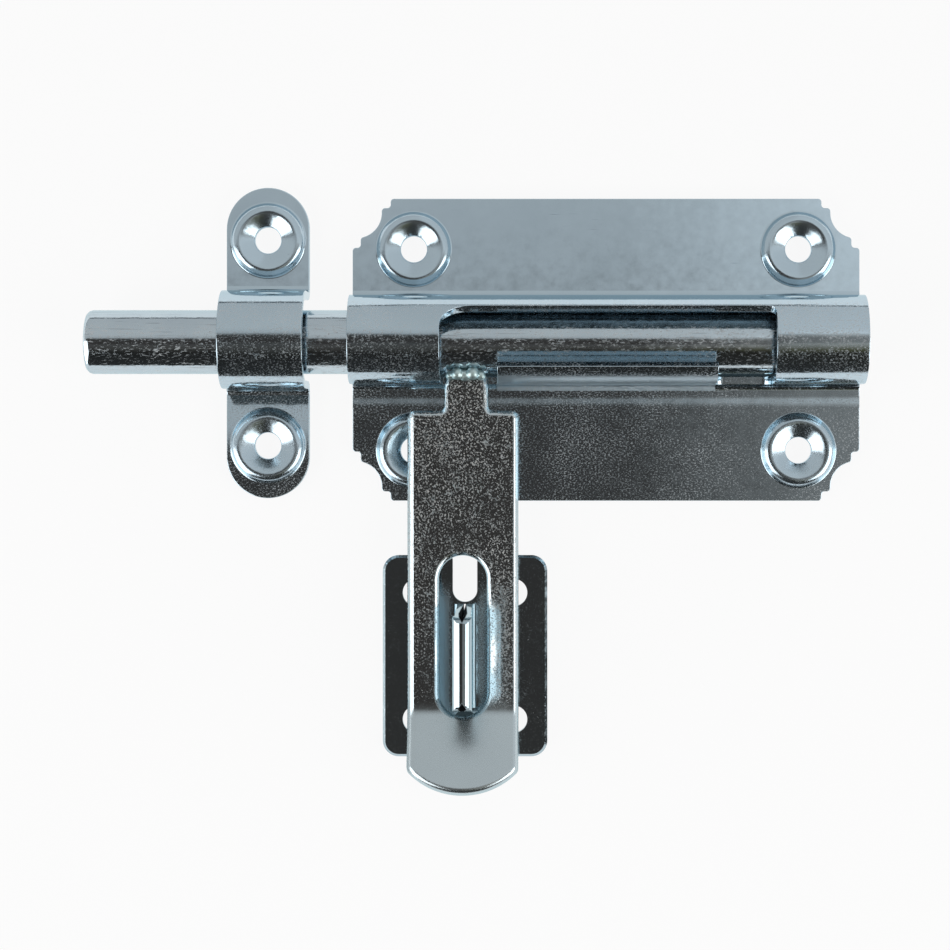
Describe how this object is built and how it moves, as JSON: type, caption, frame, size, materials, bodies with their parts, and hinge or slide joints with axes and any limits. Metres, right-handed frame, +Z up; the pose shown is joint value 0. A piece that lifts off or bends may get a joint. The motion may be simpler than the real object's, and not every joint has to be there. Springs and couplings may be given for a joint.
{
  "type": "door bolt",
  "caption": "Padlockable barrel bolt: a round rod slides through a pressed back plate into a keeper, and its slotted hasp swings down over a folded staple that takes a padlock.",
  "frame": {"origin": "centre of the back plate's four screw holes, on the door's face", "axes": "+X along the rod towards its tail, +Z up the door, +Y into the door, so the fittings stand out on the -Y side"},
  "size_m": [0.1818, 0.0265, 0.1424],
  "materials": {
    "zinc_sheet": "bright bluish zinc plate on pressed steel sheet",
    "zinc_bar": "bright bluish zinc plate on drawn round bar, with scratches and pits",
    "zinc_strap": "bright zinc plate with a fine crystalline speckle on punched strap"
  },
  "bodies": {
    "door_fittings": {"back_plate": "zinc_sheet", "keeper": "zinc_sheet", "staple_plate": "zinc_sheet"},
    "sliding_rod": {"bolt_rod": "zinc_bar"},
    "swinging_hasp": {"hasp": "zinc_strap"}
  },
  "joints": [
    {"name": "rod_slide", "type": "slide", "parent": "door_fittings", "child": "sliding_rod", "axis": [1, 0, 0], "range_m": [-0.0005, 0.002]},
    {"name": "hasp_turn", "type": "hinge", "parent": "sliding_rod", "child": "swinging_hasp", "pos_m": [-0.0329, -0.008, 0.0016], "axis": [-1, 0, 0], "range_deg": [-2.5, 100]}
  ]
}
